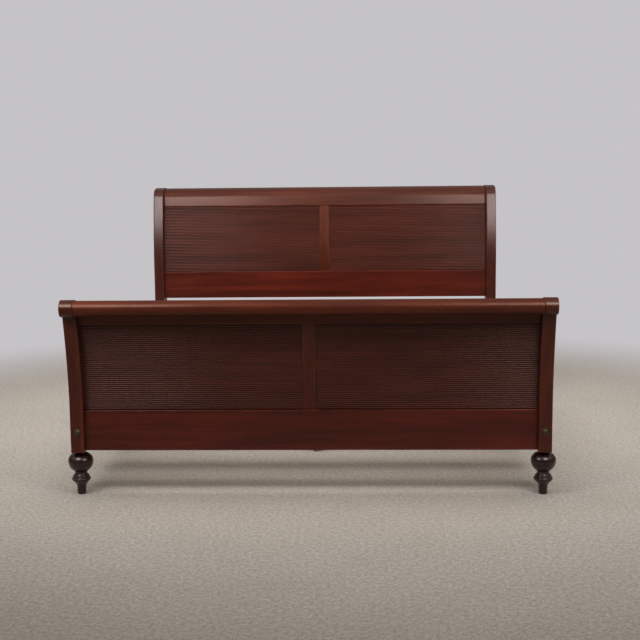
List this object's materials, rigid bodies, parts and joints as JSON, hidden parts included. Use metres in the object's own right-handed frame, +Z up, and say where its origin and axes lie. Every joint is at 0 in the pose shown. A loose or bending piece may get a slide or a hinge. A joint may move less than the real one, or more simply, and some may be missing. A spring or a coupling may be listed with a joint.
{
  "type": "sleigh bed",
  "caption": "Wooden sleigh bed with scrolled posts, rolled crest rails, reeded panels, turned feet and swinging brass bed-bolt covers.",
  "frame": {"origin": "on the floor, at the middle of the bed's length and width", "axes": "+X across the bed to the right when seen from the foot, +Y from the footboard to the headboard, +Z up"},
  "size_m": [2.136, 2.516, 1.288],
  "materials": {
    "mahogany": "satin lacquer over a dark red-brown stain",
    "red_mahogany": "satin lacquer over a red-brown stain",
    "reeded_mahogany": "satin lacquer, dark in the grooves",
    "dark_turned_wood": "near-black brown stain under satin lacquer",
    "poplar": "plain sanded wood",
    "aged_brass": "aged, satin",
    "zinc_steel": "zinc plated"
  },
  "bodies": {
    "root": {"foot_post_left": "mahogany", "foot_post_right": "mahogany", "foot_crest_rail": "mahogany", "foot_panel_left": "reeded_mahogany", "foot_panel_right": "reeded_mahogany", "foot_center_stile": "mahogany", "foot_bottom_rail": "red_mahogany", "head_post_left": "mahogany", "head_post_right": "mahogany", "head_crest_rail": "mahogany", "head_panel_left": "reeded_mahogany", "head_panel_right": "reeded_mahogany", "head_center_stile": "mahogany", "head_bottom_rail": "red_mahogany", "turned_foot_front_left": "dark_turned_wood", "turned_foot_front_right": "dark_turned_wood", "turned_foot_rear_left": "dark_turned_wood", "turned_foot_rear_right": "dark_turned_wood", "side_rail_left": "red_mahogany", "side_rail_right": "red_mahogany", "ledger_left": "poplar", "ledger_right": "poplar", "slat_1": "poplar", "slat_2": "poplar", "slat_3": "poplar", "slat_4": "poplar", "slat_5": "poplar", "slat_6": "poplar", "slat_7": "poplar", "support_leg_1": "poplar", "support_leg_2": "poplar", "support_leg_3": "poplar", "leg_glides": "zinc_steel", "bed_bolts": "zinc_steel", "bolt_washers": "zinc_steel", "barrel_nuts": "zinc_steel", "rail_dowels": "poplar", "ledger_screws": "zinc_steel", "slat_screws": "zinc_steel", "leg_screws": "zinc_steel", "cover_screws": "aged_brass"},
    "bolt_cover_front_left": {"bolt_cover_front_left": "aged_brass"},
    "bolt_cover_front_right": {"bolt_cover_front_right": "aged_brass"},
    "bolt_cover_rear_left": {"bolt_cover_rear_left": "aged_brass"},
    "bolt_cover_rear_right": {"bolt_cover_rear_right": "aged_brass"}
  },
  "joints": [
    {"name": "bolt_cover_front_left_pivot", "type": "hinge", "parent": "root", "child": "bolt_cover_front_left", "pos_m": [-1.013, -1.1353, 0.307], "axis": [0, 1, 0], "continuous": true},
    {"name": "bolt_cover_front_right_pivot", "type": "hinge", "parent": "root", "child": "bolt_cover_front_right", "pos_m": [1.013, -1.1353, 0.307], "axis": [0, 1, 0], "continuous": true},
    {"name": "bolt_cover_rear_left_pivot", "type": "hinge", "parent": "root", "child": "bolt_cover_rear_left", "pos_m": [-1.013, 1.1353, 0.307], "axis": [0, 1, 0], "continuous": true},
    {"name": "bolt_cover_rear_right_pivot", "type": "hinge", "parent": "root", "child": "bolt_cover_rear_right", "pos_m": [1.013, 1.1353, 0.307], "axis": [0, 1, 0], "continuous": true}
  ]
}
